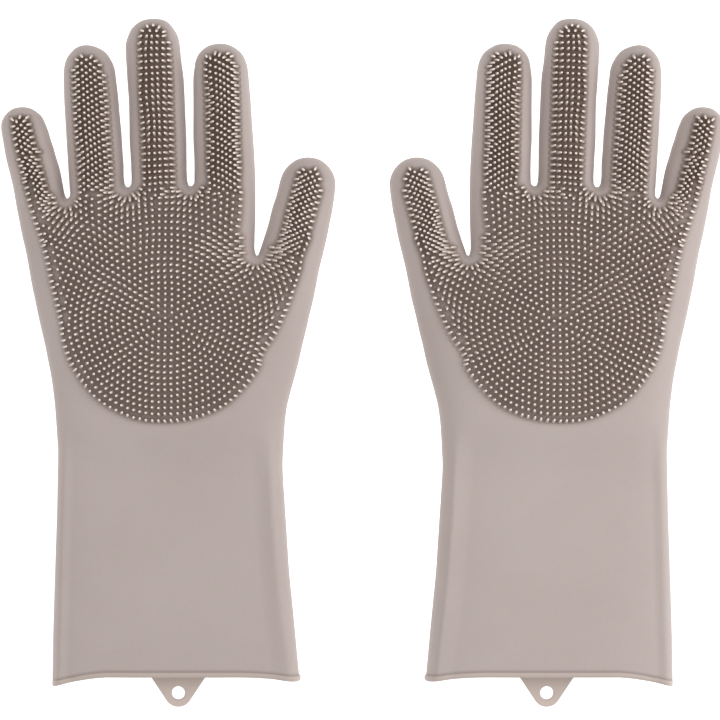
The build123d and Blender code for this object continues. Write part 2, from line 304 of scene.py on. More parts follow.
def surface_nets(h):
    """Quads on the zero level of the implicit surface, above the cut at the sleeve's end."""
    y0 = Y_CUT
    nx, ny, nz = int(192 / h) + 2, int((178 - y0) / h) + 3, int(36 / h) + 3
    org = np.array([-188.0, y0, -2.5])
    ax = [org[k] + h * np.arange(n) for k, n in enumerate((nx, ny, nz))]
    xy = np.stack(np.meshgrid(ax[0], ax[1], indexing="ij"), -1).reshape(-1, 2)
    a, zc = thick(xy)
    uu, pa = bspline(U, xy), panel(xy)
    z = ax[2][None, :]
    q = (z - zc[:, None]) / a[:, None]
    q = (z - zc[:, None] + pa[:, None] * smooth(q, 0.15, 0.85)) / a[:, None]
    g = (q * q - uu[:, None]).reshape(nx, ny, nz)
    s = g < 0
    corner = {(i, j, k): (slice(i, nx - 1 + i), slice(j, ny - 1 + j), slice(k, nz - 1 + k)) for i in (0, 1) for j in (0, 1) for k in (0, 1)}
    alls = np.ones((nx - 1, ny - 1, nz - 1), bool)
    anys = np.zeros_like(alls)
    for c in corner.values():
        alls &= s[c]
        anys |= s[c]
    active = anys & ~alls
    idx = np.full(active.shape, -1)
    idx[active] = np.arange(active.sum())
    ijk = np.argwhere(active)
    acc, cnt = np.zeros((len(ijk), 3)), np.zeros(len(ijk))
    for c0 in corner:
        for k in range(3):
            if c0[k]:
                continue
            c1 = tuple(1 if m == k else c0[m] for m in range(3))
            g0 = g[tuple((ijk + np.array(c0)).T)]
            g1 = g[tuple((ijk + np.array(c1)).T)]
            cross = (g0 < 0) != (g1 < 0)
            t = np.where(cross, g0 / np.where(g0 == g1, 1, g0 - g1), 0)
            pos = np.array(c0, float) + t[:, None] * (np.array(c1) - np.array(c0))
            acc += np.where(cross[:, None], pos, 0)
            cnt += cross
    v = org + h * (ijk + acc / cnt[:, None])
    quads = []
    for k in range(3):
        lo = [slice(None)] * 3
        hi = [slice(None)] * 3
        lo[k], hi[k] = slice(0, -1), slice(1, None)
        cr = s[tuple(lo)] != s[tuple(hi)]
        e = np.argwhere(cr)
        inside0 = s[tuple(lo)][tuple(e.T)]
        m, n = [a_ for a_ in range(3) if a_ != k]
        ok = (e[:, m] > 0) & (e[:, n] > 0) & (e[:, m] < active.shape[m]) & (e[:, n] < active.shape[n])
        e, inside0 = e[ok], inside0[ok]
        em, en = np.eye(3, dtype=int)[m], np.eye(3, dtype=int)[n]
        ring = [idx[tuple((e - em - en).T)], idx[tuple((e - en).T)], idx[tuple(e.T)], idx[tuple((e - em).T)]]
        qd = np.stack(ring, 1)
        flip = inside0 if k != 1 else ~inside0
        qd = np.where(flip[:, None], qd, qd[:, ::-1])
        quads.append(qd)
    f = np.concatenate(quads)
    f = f[(f >= 0).all(1)]
    # the first row of cells becomes the cut end
    edge = v[:, 1] < y0 + h
    v[edge, 1] = y0
    for _ in range(6):
        gv = implicit(v)
        gr = gradient(v)
        gr[edge, 1] = 0
        n2 = (gr ** 2).sum(1)
        step = (gv / np.maximum(n2, 1e-8))[:, None] * gr
        ln = np.linalg.norm(step, axis=1)
        step *= np.minimum(1, 0.6 / np.maximum(ln, 1e-9))[:, None]
        v = v - step
    used = np.unique(f)
    new = np.full(len(v), -1)
    new[used] = np.arange(len(used))
    v, f, edge = v[used], new[f], edge[used]
    nrm = gradient(v)
    nrm /= np.linalg.norm(nrm, axis=1)[:, None]
    # make the quads face outwards
    a, b, c = v[f[:, 0]], v[f[:, 1]], v[f[:, 2]]
    fn = np.cross(b - a, c - a)
    if (fn * nrm[f[:, 0]]).sum(1).mean() < 0:
        f = f[:, ::-1]
    return v, f, nrm, edge


def droop(p):
    """The cut end isn't straight: its corners hang a few millimetres lower than its middle."""
    x, y = p[:, 0], p[:, 1]
    left = np.clip((-128.0 - x) / 29.0, 0, 1) ** 1.6 * 5.4
    right = np.clip((x + 64.0) / 31.0, 0, 1) ** 2 * 2.9
    w = smooth(y, -110.0, -158.0)
    q = p.copy()
    q[:, 1] -= (left + right - 0.6) * w
    return q


def top_point(xy):
    """Front surface point and normal over a plan position."""
    a, zc = thick(xy)
    u = np.maximum(bspline(U, xy), 1e-4)
    z = zc + a * np.sqrt(u) - panel(xy)
    p = np.column_stack([xy, z])
    g = gradient(p)
    g /= np.linalg.norm(g, axis=1)[:, None]
    return p, g


# ------------------------------------------------------------------ bristles
RING_C = np.array([-99.3, 20.75])
PITCH = 3.02
FIELD_R = 51.0           # the palm's field ends in a circle about the rings' centre

# The field's edges down the sides of the palm, from the little finger and from the thumb into the circle.
EDGE_L = [(-192.0, 126.0), (-179.0, 113.0), (-174.2, 101.5), (-171.2, 91.0), (-168.1, 79.3), (-164.8, 70.0),
          (-161.3, 60.0), (-158.9, 50.5), (-157.2, 42.0), (-155.3, 33.7), (-153.1, 25.0), (-151.3, 16.7)]
EDGE_R = [(-51.9, 1.0), (-49.4, 6.6), (-45.0, 12.7), (-41.2, 20.2), (-38.3, 26.0), (-36.0, 31.5), (-33.6, 38.8),
          (-30.9, 46.5), (-28.2, 56.1), (-26.0, 62.9), (-24.0, 69.2), (-20.5, 80.0), (-8.0, 92.0)]

# Each finger's lattice: rows of pins along its axis, as (sideways place, station of one pin), and the
# spacing along a row. The ring and index fingers' columns step by a bit over a third of the
# spacing, the little finger's and the thumb's by half of it.
LATTICE = {
    "little": [dict(cols=[(-4.70, 5.74), (-2.85, 7.50), (-1.20, 6.15), (0.50, 8.00), (2.10, 6.65), (3.40, 8.50)], pitch=3.22, slope=0.02, span=(-9.0, 15.4)),
               dict(cols=[(-4.95, 22.90), (-3.30, 24.60), (-1.75, 23.20), (-0.10, 25.00), (1.35, 23.70), (2.60, 25.50)], pitch=3.38, slope=0.02, span=(15.6, 51.0)),
               dict(cols=[(4.2, 41.0), (5.8, 42.7)], pitch=3.38, slope=0.02, span=(37.0, 51.0))],
    "ring": [dict(cols=[(-6.95, 19.60), (-5.00, 18.24), (-3.00, 16.86), (-1.00, 15.49), (1.00, 14.31), (3.00, 13.15), (5.00, 11.98), (6.95, 10.99)], pitch=3.12, slope=0.0, span=(-9.0, 68.0))],
    "middle": [dict(cols=[(-5.45, 12.95), (-2.88, 12.77), (-0.30, 12.68), (2.30, 12.66), (4.85, 12.64), (7.20, 12.60)], pitch=3.095, slope=0.0, span=(-3.9, 80.0))],
    "index": [dict(cols=[(-6.84, 13.60), (-4.86, 14.87), (-2.72, 15.95), (-0.70, 17.00), (1.22, 18.28), (3.04, 19.54), (4.85, 20.88), (6.45, 22.32)], pitch=3.22, slope=0.0, span=(-9.0, 68.0))],
    "thumb": [dict(cols=[(-5.75, 15.50), (-4.30, 17.20), (-2.75, 15.67), (-1.05, 17.37), (0.58, 15.84), (2.12, 17.56), (3.95, 16.10), (5.80, 17.95)], pitch=3.24, slope=-0.035, span=(-9.0, 60.0))],
}
# the arched first two rows of the middle finger
CROWN = np.array([(-111.2, 166.8), (-107.8, 166.9), (-104.7, 167.0), (-101.4, 167.0), (-109.1, 169.0), (-106.3, 169.9), (-103.6, 169.1)])
ROOM = {"little": 8.0, "ring": 4.0, "middle": 4.5, "index": 4.0, "thumb": -4.5}     # how far a lattice runs past the web


def polygon_distance(xy, poly):
    """Distance to a closed polygon, positive inside."""
    a, b = poly, np.roll(poly, -1, 0)
    best = np.full(len(xy), 1e18)
    inside = np.zeros(len(xy), bool)
    for p, q in zip(a, b):
        e = q - p
        t = np.clip(((xy - p) @ e) / (e @ e), 0, 1)
        best = np.minimum(best, ((xy - p - t[:, None] * e) ** 2).sum(1))
        up = (p[1] > xy[:, 1]) != (q[1] > xy[:, 1])
        if p[1] != q[1]:
            inside ^= up & (xy[:, 0] < (q[0] - p[0]) * (xy[:, 1] - p[1]) / (q[1] - p[1]) + p[0])
    return np.sqrt(best) * np.where(inside, 1, -1)


def field_grid():
    """How far inside the bristle field each grid point is."""
    a0 = math.atan2(EDGE_L[-1][1] - RING_C[1], EDGE_L[-1][0] - RING_C[0]) % (2 * math.pi)
    a1 = math.atan2(EDGE_R[0][1] - RING_C[1], EDGE_R[0][0] - RING_C[0]) % (2 * math.pi)
    arc = [RING_C + FIELD_R * np.array([math.cos(t), math.sin(t)]) + [1.4 * float(np.clip(6 * math.cos(t), -1, 1)), 0] for t in np.linspace(a0, a1, 60)[1:-1]]
    poly = np.array([(-192.0, 185.0)] + EDGE_L + [tuple(q) for q in arc] + EDGE_R + [(-8.0, 185.0)])
    x = GX0 + H2 * np.arange(NX)
    y = GY0 + H2 * np.arange(NY)
    xy = np.stack(np.meshgrid(x, y, indexing="ij"), -1).reshape(-1, 2)
    return np.minimum(D, 40) - MARGIN, polygon_distance(xy, poly).reshape(NX, NY)


F_OUT, F_SIDE = field_grid()
FIELD = np.minimum(F_OUT, F_SIDE)


def bristle_plan():
    """Plan positions of the bristles' tips: rings over the palm, a lattice on each finger."""
    pts = []
    half = 1.4               # rings round a short segment, so that they are slightly wider than tall
    for n in range(1, 31):
        r = (n - 0.5) * PITCH
        cnt = 6 * n - 2
        total = 2 * math.pi * r + 4 * half
        for k in range(cnt):
            s = (k / cnt * total + half) % total       # from the lowest point, anticlockwise
            if s < 2 * half:
                q = (s - half, -r)
            elif s < 2 * half + math.pi * r:
                a = (s - 2 * half) / r - math.pi / 2
                q = (half + r * math.cos(a), r * math.sin(a))
            elif s < 4 * half + math.pi * r:
                q = (half - (s - 2 * half - math.pi * r), r)
            else:
                a = (s - 4 * half - math.pi * r) / r + math.pi / 2
                q = (-half + r * math.cos(a), r * math.sin(a))
            pts.append((RING_C[0] + q[0], RING_C[1] + q[1]))
    pts = np.array(pts)
    keep = pts[:, 1] < 105
    for name, f in FINGERS.items():
        s, t = local(f, pts)
        keep &= ~((s < f["st"][3] + ROOM[name]) & (t > (-9.5 if name == "thumb" else -18.5)) & (t < 18.5))
    keep &= bilinear(FIELD, pts) > 0.85
    got = [pts[keep], CROWN]
    for name, f in FINGERS.items():
        for lat in LATTICE[name]:
            for t0, s0 in lat["cols"]:
                k = np.arange(-20, 30)
                s = s0 + k * lat["pitch"]
                s = s[(s > lat["span"][0]) & (s < min(lat["span"][1], f["st"][3] + ROOM[name] + 3.4))]
                t = t0 + lat["slope"] * (s - s0)
                got.append(f["c"] + s[:, None] * f["down"] + t[:, None] * f["side"])
    out = edge_rows()
    for i, g in enumerate(got):        # nearer than this to one already placed, a bristle is left out
        d = np.sqrt(((g[:, None] - out[None]) ** 2).sum(-1)).min(1)
        out = np.concatenate([out, g[(d > (1.7 if i == 1 else 1.85)) & (bilinear(FIELD, g) > (-0.45 if i == 1 else -0.2))]])
    drop = np.zeros(len(out), bool)
    for name, least in TOP.items():
        s, t = local(FINGERS[name], out)
        drop |= (s < 2) & (np.abs(t) < 15) & (bilinear(FIELD, out) < least)
    s, t = local(FINGERS["little"], out)
    drop |= (s > 8) & (s < 22) & (t > 4.4) & (t < 12)
    return fill_gaps(out[~drop])


TOP = {"ring": 0.8, "thumb": 1.2}          # the first row is further in on these


def fill_gaps(pts):
    """Where two patterns meet and leave a hole, a bristle goes in its middle."""
    x, y = np.arange(-190, -8, 0.5), np.arange(-36, 172, 0.5)
    c = np.stack(np.meshgrid(x, y, indexing="ij"), -1).reshape(-1, 2)
    c = c[bilinear(FIELD, c) > 1.0]
    for name, f in FINGERS.items():          # the fingers' own lattices have none
        s, t = local(f, c)
        c = c[~((s < (38.0 if name == "thumb" else f["st"][3] - 1.0)) & (np.abs(t) < (13.0 if name == "thumb" else 18.5)))]
    d = np.empty(len(c))
    for k in range(0, len(c), 4000):
        d[k:k + 4000] = ((c[k:k + 4000, None] - pts[None]) ** 2).sum(-1).min(1)
    new = []
    while len(new) < 400:
        k = int(d.argmax())
        if d[k] < 2.42 ** 2:
            break
        new.append(c[k])
        d = np.minimum(d, ((c - c[k]) ** 2).sum(1))
    print("gaps filled", len(new))
    return np.concatenate([pts, np.array(new).reshape(-1, 2)])


def even(line, step):
    """Points along a polyline at an even spacing."""
    line = np.asarray(line, float)
    seg = np.linalg.norm(np.diff(line, axis=0), axis=1)
    u = np.concatenate([[0], np.cumsum(seg)])
    n = max(2, int(round(u[-1] / step)) + 1)
    t = np.linspace(0, u[-1], n)
    return np.column_stack([np.interp(t, u, line[:, k]) for k in (0, 1)])


def edge_rows():
    """Rows of bristles that follow the field's edge: round each web and down the sides of the palm."""
    rows = []
    d = np.roll(LOOP, -1, 0) - np.roll(LOOP, 1, 0)
    n = np.column_stack([-d[:, 1], d[:, 0]]) / np.linalg.norm(d, axis=1)[:, None]
    for wx, wy in WEBS:
        near = np.where(np.linalg.norm(LOOP - [wx, wy], axis=1) < 7.0)[0]
        line = LOOP[near] - n[near] * 8.3
        line = line[line[:, 1] < wy - 1.0]
        rows.append(even(line[1:-1], 3.2))
    side = smooth_line(EDGE_L[3:], 1.25)
    rows.append(even(side, 3.08))
    side = smooth_line(EDGE_R[:-3], 1.25)
    rows.append(even(side, 3.15))
    out = rows[0]
    for g in rows[1:]:
        dd = np.sqrt(((g[:, None] - out[None]) ** 2).sum(-1)).min(1)
        out = np.concatenate([out, g[dd > 2.3]])
    return out


def smooth_line(pts, inset):
    """An edge line, moved towards the inside of the field."""
    q = spline_loop(pts, 1.0, closed=False)
    e = 0.8
    for _ in range(12):
        fd = bilinear(F_SIDE, q)
        g = np.column_stack([(bilinear(F_SIDE, q + v) - bilinear(F_SIDE, q - v)) / (2 * e) for v in (np.array([e, 0]), np.array([0, e]))])
        g /= np.maximum(np.linalg.norm(g, axis=1), 0.5)[:, None]
        q = q + g * (inset - fd)[:, None] * 0.6
    return q


WEBS = np.array([(-150.5, 83.4), (-119.7, 89.2), (-87.8, 89.7), (-53.8, 54.0)])


def lean_in(xy):
    """How far a bristle leans inwards at its root, and which way that is in plan."""
    e = 0.8
    grad = [(bilinear(FIELD, xy + v) - bilinear(FIELD, xy - v)) / (2 * e) for v in (np.array([e, 0]), np.array([0, e]))]
    g = np.column_stack(grad)
    g /= np.maximum(np.linalg.norm(g, axis=1), 0.3)[:, None]
    fd = bilinear(FIELD, xy)
    side = 2.3 * np.clip(1 - fd / 5.2, 0, 1) ** 1.15 * (0.5 + 0.5 * smooth(xy[:, 1], -26, 8))
    to = xy[:, None] - WEBS[None]
    dist = np.linalg.norm(to, axis=2)
    k = dist.argmin(1)
    dw = dist[np.arange(len(xy)), k]
    away = to[np.arange(len(xy)), k] / np.maximum(dw, 1e-6)[:, None]
    near = smooth(dw - bilinear(D, xy), 2.6, 0.4) * smooth(away[:, 1], 0.15, -0.25)
    web = 2.05 * np.clip((25 - dw) / 16.5, 0, 1) ** 1.0
    v = g * (side * (1 - near))[:, None] + away * (web * near)[:, None]
    for name, f in FINGERS.items():          # the outer columns on a finger lean towards its middle
        if name != "thumb":
            s, t = local(f, xy)
            cols = [c[0] for c in LATTICE[name][0]["cols"]]
            u = (t - (min(cols) + max(cols)) / 2) / ((max(cols) - min(cols)) / 2)
            on = smooth(s, f["st"][3] - 2, f["st"][3] - 9) * smooth(s, -4, 3) * (np.abs(u) < 1.9)
            v = v * (1 - on)[:, None] - f["side"] * (2.0 * np.sign(u) * np.clip((np.abs(u) - 0.35) / 0.65, 0, 1.1) ** 1.2 * on)[:, None]
    # the thumb's bristles lean across it, most of all down its inner side
    f = FINGERS["thumb"]
    s, t = local(f, xy)
    on = smooth(s, 46, 36) * smooth(t, -15, -12.5) * smooth(s, -9, 2)
    across = 2.35 * np.clip((0.8 - t) / 8.5, 0, 1) ** 0.9 - 1.5 * np.clip((t - 3.0) / 4.0, 0, 1)
    v = v * (1 - on)[:, None] + f["side"] * (across * on)[:, None]
    # the crotch of the thumb pulls the palm's bristles over, a long way out
    far = dist[:, 3]
    out = to[:, 3] / np.maximum(far, 1e-6)[:, None]
    v += out * (1.5 * smooth(far, 50, 16) * smooth(out[:, 1], 0.75, 0.15) * (1 - near))[:, None]
    return v


def place_bristles():
    tips = bristle_plan()
    ft = bilinear(FIELD, tips)
    off = np.zeros_like(tips)
    for _ in range(4):                       # the root lies further out than the tip, near the margin
        v = lean_in(tips - off)
        m = np.linalg.norm(v, axis=1)
        v *= (np.minimum(m, np.maximum(ft + 1.7, 0.1)) / np.maximum(m, 1e-6))[:, None]
        off = 0.5 * off + 0.5 * v
    root = tips - off
    p, n = top_point(root)
    k = np.array([[0.11, 0.05], [-0.06, 0.13], [0.21, -0.10], [0.09, 0.24], [-0.27, 0.12], [0.16, 0.31]])
    ph = RNG.uniform(0, 2 * math.pi, (2, len(k)))
    wander = np.column_stack([(np.sin(root @ k.T + ph[c]) * [0.20, 0.20, 0.15, 0.15, 0.10, 0.10]).sum(1) for c in (0, 1)])
    off = off + wander * 1.2 + RNG.normal(0, 0.10, off.shape)
    flat = np.linalg.norm(off, axis=1)
    rise = np.sqrt(np.maximum(PIN_H ** 2 - flat ** 2, 4.0))
    axis = np.column_stack([off, rise])
    axis /= np.linalg.norm(axis, axis=1)[:, None]
    length = PIN_H * (1 + RNG.normal(0, 0.012, len(axis)))
    return p, axis, length


# ------------------------------------------------------------------ which piece a point is in
def zone_of(xy):
    """0 hand, then 2i+1 base and 2i+2 tip of finger i."""
    z = np.zeros(len(xy), int)
    for i, f in enumerate(FINGERS.values()):
        s, t = local(f, xy)
        near = np.abs(t) < 17.2
        for g in FINGERS.values():
            if g is not f:
                s2, t2 = local(g, xy)
                near &= (np.abs(t) <= np.abs(t2)) | (s2 > g["st"][3])
        mid = (f["st"][1] + f["st"][2]) / 2
        z[near & (s < f["st"][3])] = 2 * i + 1
        z[near & (s < mid)] = 2 * i + 2
    return z


# ------------------------------------------------------------------ materials
def nodes_of(name):
    m = bpy.data.materials.new(name)
    m.use_nodes = True
    t = m.node_tree
    t.nodes.clear()
    out = t.nodes.new("ShaderNodeOutputMaterial")
    b = t.nodes.new("ShaderNodeBsdfPrincipled")
    t.links.new(b.outputs[0], out.inputs[0])
    return m, t, b


def silicone(name, light, dark, painted_shade_colour, rough, use_painted_shade=True, fine=1.0):
    """Matt moulded silicone: faint mottle, powdery fine grain, soft sheen, and painted shade between the bristles."""
    m, t, b = nodes_of(name)
    N, L = t.nodes, t.links
    co = N.new("ShaderNodeTexCoord")
    big = N.new("ShaderNodeTexNoise")
    big.inputs["Scale"].default_value = 16
    big.inputs["Detail"].default_value = 5
    big.inputs["Roughness"].default_value = 0.6
    L.new(co.outputs["Object"], big.inputs["Vector"])
    ramp = N.new("ShaderNodeValToRGB")
    ramp.color_ramp.elements[0].position = 0.30
    ramp.color_ramp.elements[0].color = (*dark, 1)
    ramp.color_ramp.elements[1].position = 0.70
    ramp.color_ramp.elements[1].color = (*light, 1)
    L.new(big.outputs["Fac"], ramp.inputs[0])
    speck = N.new("ShaderNodeTexNoise")
    speck.inputs["Scale"].default_value = 900
    speck.inputs["Detail"].default_value = 3
    L.new(co.outputs["Object"], speck.inputs["Vector"])
    mix = N.new("ShaderNodeMix")
    mix.data_type = "RGBA"
    mix.blend_type = "MULTIPLY"
    mix.inputs["Factor"].default_value = 0.10
    L.new(ramp.outputs[0], mix.inputs["A"])
    L.new(speck.outputs["Color"], mix.inputs["B"])
    colour = mix.outputs["Result"]
    # painted shade: the colour is mixed towards the dark shade colour where the attribute says a point lies deep among
    # the bristles
    if use_painted_shade:
        at = N.new("ShaderNodeAttribute")
        at.attribute_name = "painted_shade"
        mx = N.new("ShaderNodeMix")
        mx.data_type = "RGBA"
        L.new(at.outputs["Fac"], mx.inputs["Factor"])
        L.new(colour, mx.inputs["A"])
        mx.inputs["B"].default_value = (*painted_shade_colour, 1)
        colour = mx.outputs["Result"]
    L.new(colour, b.inputs["Base Color"])
    rr = N.new("ShaderNodeMapRange")
    L.new(big.outputs["Fac"], rr.inputs["Value"])
    rr.inputs["To Min"].default_value = rough - 0.05
    rr.inputs["To Max"].default_value = rough + 0.07
    L.new(rr.outputs[0], b.inputs["Roughness"])
    bump = N.new("ShaderNodeBump")
    bump.inputs["Strength"].default_value = 0.12 * fine
    bump.inputs["Distance"].default_value = 0.0002
    L.new(speck.outputs["Fac"], bump.inputs["Height"])
    wob = N.new("ShaderNodeTexNoise")
    wob.inputs["Scale"].default_value = 60
    wob.inputs["Detail"].default_value = 2
    L.new(co.outputs["Object"], wob.inputs["Vector"])
    bump2 = N.new("ShaderNodeBump")
    bump2.inputs["Strength"].default_value = 0.10 * fine
    bump2.inputs["Distance"].default_value = 0.0008
    L.new(wob.outputs["Fac"], bump2.inputs["Height"])
    L.new(bump.outputs[0], bump2.inputs["Normal"])
    L.new(bump2.outputs[0], b.inputs["Normal"])
    b.inputs["Specular IOR Level"].default_value = 0.42
    b.inputs["Specular Tint"].default_value = (1.0, 0.86, 0.78, 1)
    b.inputs["Sheen Weight"].default_value = 0.08
    b.inputs["Sheen Tint"].default_value = (1.0, 0.88, 0.80, 1)
    b.inputs["Sheen Roughness"].default_value = 0.55
    b.inputs["Subsurface Weight"].default_value = 0.0
    return m


# the third colour of each material is its painted shade colour; only the skin and the bristles use it
SKIN = silicone("silicone_taupe", (0.438, 0.374, 0.354), (0.406, 0.343, 0.324), (0.074, 0.044, 0.031), 0.56)
# painted light: the bristles are the glove's silicone, coloured far lighter than the skin so that their tips look
# brightly lit
PIN = silicone("silicone_bristle_painted_lit", (0.985, 0.885, 0.82), (0.93, 0.825, 0.76), (0.19, 0.135, 0.108), 0.34, fine=0.4)
RIM = silicone("silicone_rim", (0.475, 0.400, 0.365), (0.440, 0.367, 0.335), (0.1, 0.07, 0.06), 0.48, use_painted_shade=False)
# painted light: the tab is the glove's silicone, coloured lighter so that it looks more brightly lit than the skin
TAB = silicone("silicone_tab_painted_lit", (0.62, 0.52, 0.47), (0.58, 0.485, 0.44), (0.1, 0.07, 0.06), 0.48, use_painted_shade=False)
INNER = silicone("silicone_inside", (0.37, 0.315, 0.292), (0.33, 0.28, 0.26), (0.046, 0.026, 0.017), 0.62, use_painted_shade=False)


# ------------------------------------------------------------------ meshes
def write_mesh(name, v, faces, normals=None, attrs=None, materials=(), mat_index=None):
    """v in mm; faces is a list of arrays of vertex indices (quads or triangles)."""
    me = bpy.data.meshes.new(name)
    v = np.asarray(v, float) * 0.001
    loops = np.concatenate([f.ravel() for f in faces])
    sizes = np.concatenate([np.full(len(f), f.shape[1]) for f in faces])
    starts = np.concatenate([[0], np.cumsum(sizes)[:-1]])
    me.vertices.add(len(v))
    me.vertices.foreach_set("co", v.astype(np.float32).ravel())
    me.loops.add(len(loops))
    me.loops.foreach_set("vertex_index", loops.astype(np.int32))
    me.polygons.add(len(sizes))
    me.polygons.foreach_set("loop_start", starts.astype(np.int32))
    me.update(calc_edges=True)
    me.polygons.foreach_set("use_smooth", np.ones(len(sizes), bool))
    for m in materials:
        me.materials.append(m)
    if mat_index is not None:
        me.polygons.foreach_set("material_index", mat_index.astype(np.int32))
    for k, a in (attrs or {}).items():
        at = me.attributes.new(k, "FLOAT", "POINT")
        at.data.foreach_set("value", np.asarray(a, np.float32))
    me.validate(clean_customdata=False)
    if normals is not None:
        me.normals_split_custom_set_from_vertices([tuple(n) for n in normals])
    me.update()
    o = bpy.data.objects.new(name, me)
    bpy.context.scene.collection.objects.link(o)
    return o


def take(v, f, n, keep, extra):
    used = np.unique(f[keep])
    new = np.full(len(v), -1)
    new[used] = np.arange(len(used))
    return v[used], new[f[keep]], n[used], {k: a[used] for k, a in extra.items()}


def bind(o, zone):
    if zone == 0:
        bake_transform(o)
        return
    if zone % 2:
        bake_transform(o)
    else:
        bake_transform(o)


# skin
print("fields done")
H3 = 1.45
V, F, NRM, EDGE = surface_nets(H3)
print("skin", len(V), len(F))

root, axis, length = place_bristles()
print("bristles", len(root))


# how dark the painted shade on the skin between them is: more on the fingers than over the palm
shade_depth_at = np.full(len(root), 0.79)
for name, deep in (("little", 0.95), ("ring", 0.92), ("middle", 0.94), ("index", 0.94), ("thumb", 0.88)):
    f = FINGERS[name]
    s, t = local(f, root[:, :2])
    shade_depth_at += (deep - 0.79) * smooth(s, f["st"][3] + 7, f["st"][3] - 9) * (np.abs(t) < 18.5)
shade_depth_at = np.clip(shade_depth_at, 0, 1)


def painted_shade_at(p, n):
    """How much painted shade a skin point gets for lying among the bristles, 0 to 1."""
    out = np.zeros(len(p))
    front = np.where(n[:, 2] > 0.25)[0]
    cell = {}
    size = 4.0
    mid = (root + axis * length[:, None] * 0.55)[:, :2]
    keys = np.floor(mid / size).astype(int)
    for i, k in enumerate(map(tuple, keys)):
        cell.setdefault(k, []).append(i)
    pk = np.floor(p[front, :2] / size).astype(int)
    order = np.lexsort((pk[:, 1], pk[:, 0]))
    i = 0
    while i < len(order):
        j = i
        k = tuple(pk[order[i]])
        while j < len(order) and tuple(pk[order[j]]) == k:
            j += 1
        near = [b for a in (-1, 0, 1) for c in (-1, 0, 1) for b in cell.get((k[0] + a, k[1] + c), [])]
        if near:
            q = front[order[i:j]]
            d = ((p[q][:, None, :2] - mid[near][None]) ** 2).sum(-1)
            w = np.exp(-d / 1.95 ** 2)
            cover = np.clip(w.sum(1) / 1.15, 0, 1)
            rim = 0.30 + 0.70 * smooth(bilinear(FIELD, p[q][:, :2]), -2.9, 0.2)
            out[q] = rim * cover ** 0.8 * (w * shade_depth_at[near][None]).sum(1) / np.maximum(w.sum(1), 1e-9)
        i = j
    return out


SKIN_PAINTED_SHADE = painted_shade_at(V, NRM)
# painted shade along the line where the skin meets the bead
SKIN_PAINTED_SHADE = np.maximum(SKIN_PAINTED_SHADE, 0.5 * smooth(V[:, 1], -155.2, -156.7))       # the shaded line where the skin meets the bead
VD = droop(V)
centre = V[F].mean(1)
ZF = zone_of(centre[:, :2])
inner_v = V - NRM * WALL
inner_v[EDGE, 1] = Y_CUT
inner_v = droop(inner_v)


def pin_template(sides, levels):
    """Angles round a pin's ring, one for each side."""
    ang = np.arange(sides) * 2 * math.pi / sides
    return ang


def pins(sel, name, side):
    sides = 10
    prof = [(PIN_R0 * 1.30, -0.5), (PIN_R0 * 1.12, 0.10), (PIN_R0, 0.55), (PIN_R1 * 1.04, PIN_H - 0.95), (PIN_R1, PIN_H - 0.55), (PIN_R1 * 0.80, PIN_H - 0.22), (PIN_R1 * 0.42, PIN_H - 0.05)]
    ang = np.arange(sides) * 2 * math.pi / sides
    p, a, ln = root[sel], axis[sel], length[sel]
    ref = np.tile([0.0, 1.0, 0.0], (len(p), 1))
    e1 = np.cross(ref, a)
    e1 /= np.linalg.norm(e1, axis=1)[:, None]
    e2 = np.cross(a, e1)
    rings = []
    for r, z in prof:
        zz = np.where(z > 1, z + (ln - PIN_H), z)
        c = p + a * zz[:, None]
        rings.append(c[:, None] + r * (np.cos(ang)[None, :, None] * e1[:, None] + np.sin(ang)[None, :, None] * e2[:, None]))
    tip = (p + a * ln[:, None])[:, None]
    block = np.concatenate(rings + [tip], 1)
    per = block.shape[1]
    v = block.reshape(-1, 3)
    q = []
    for r in range(len(prof) - 1):
        for k in range(sides):
            k2 = (k + 1) % sides
            q.append((r * sides + k, r * sides + k2, (r + 1) * sides + k2, (r + 1) * sides + k))
    tr = [((len(prof) - 1) * sides + k, (len(prof) - 1) * sides + (k + 1) % sides, per - 1) for k in range(sides)]
    base = (np.arange(len(p)) * per)[:, None, None]
    q = (np.array(q)[None] + base).reshape(-1, 4)
    tr = (np.array(tr)[None] + base).reshape(-1, 3)
    hz = np.concatenate([np.full(sides, z) for r, z in prof] + [[PIN_H]])
    # painted shade: each bristle is darkened from its root upwards, further up on one that leans over
    over = np.linalg.norm(a[:, :2], axis=1)
    shade = np.clip(1 - hz[None, :] / (PIN_H * (0.82 + 0.62 * over[:, None] ** 1.5)), 0, 1) ** 0.9
    shade_depth = pin_shade_depth[sel]
    shade_paint = (shade * shade_depth[:, None]).ravel()
    v = droop(v)
    if side == "right":
        v = v * [-1, 1, 1]
        q, tr = q[:, ::-1], tr[:, ::-1]
    return write_mesh(name, v, [q, tr], attrs={"painted_shade": shade_paint}, materials=[PIN])


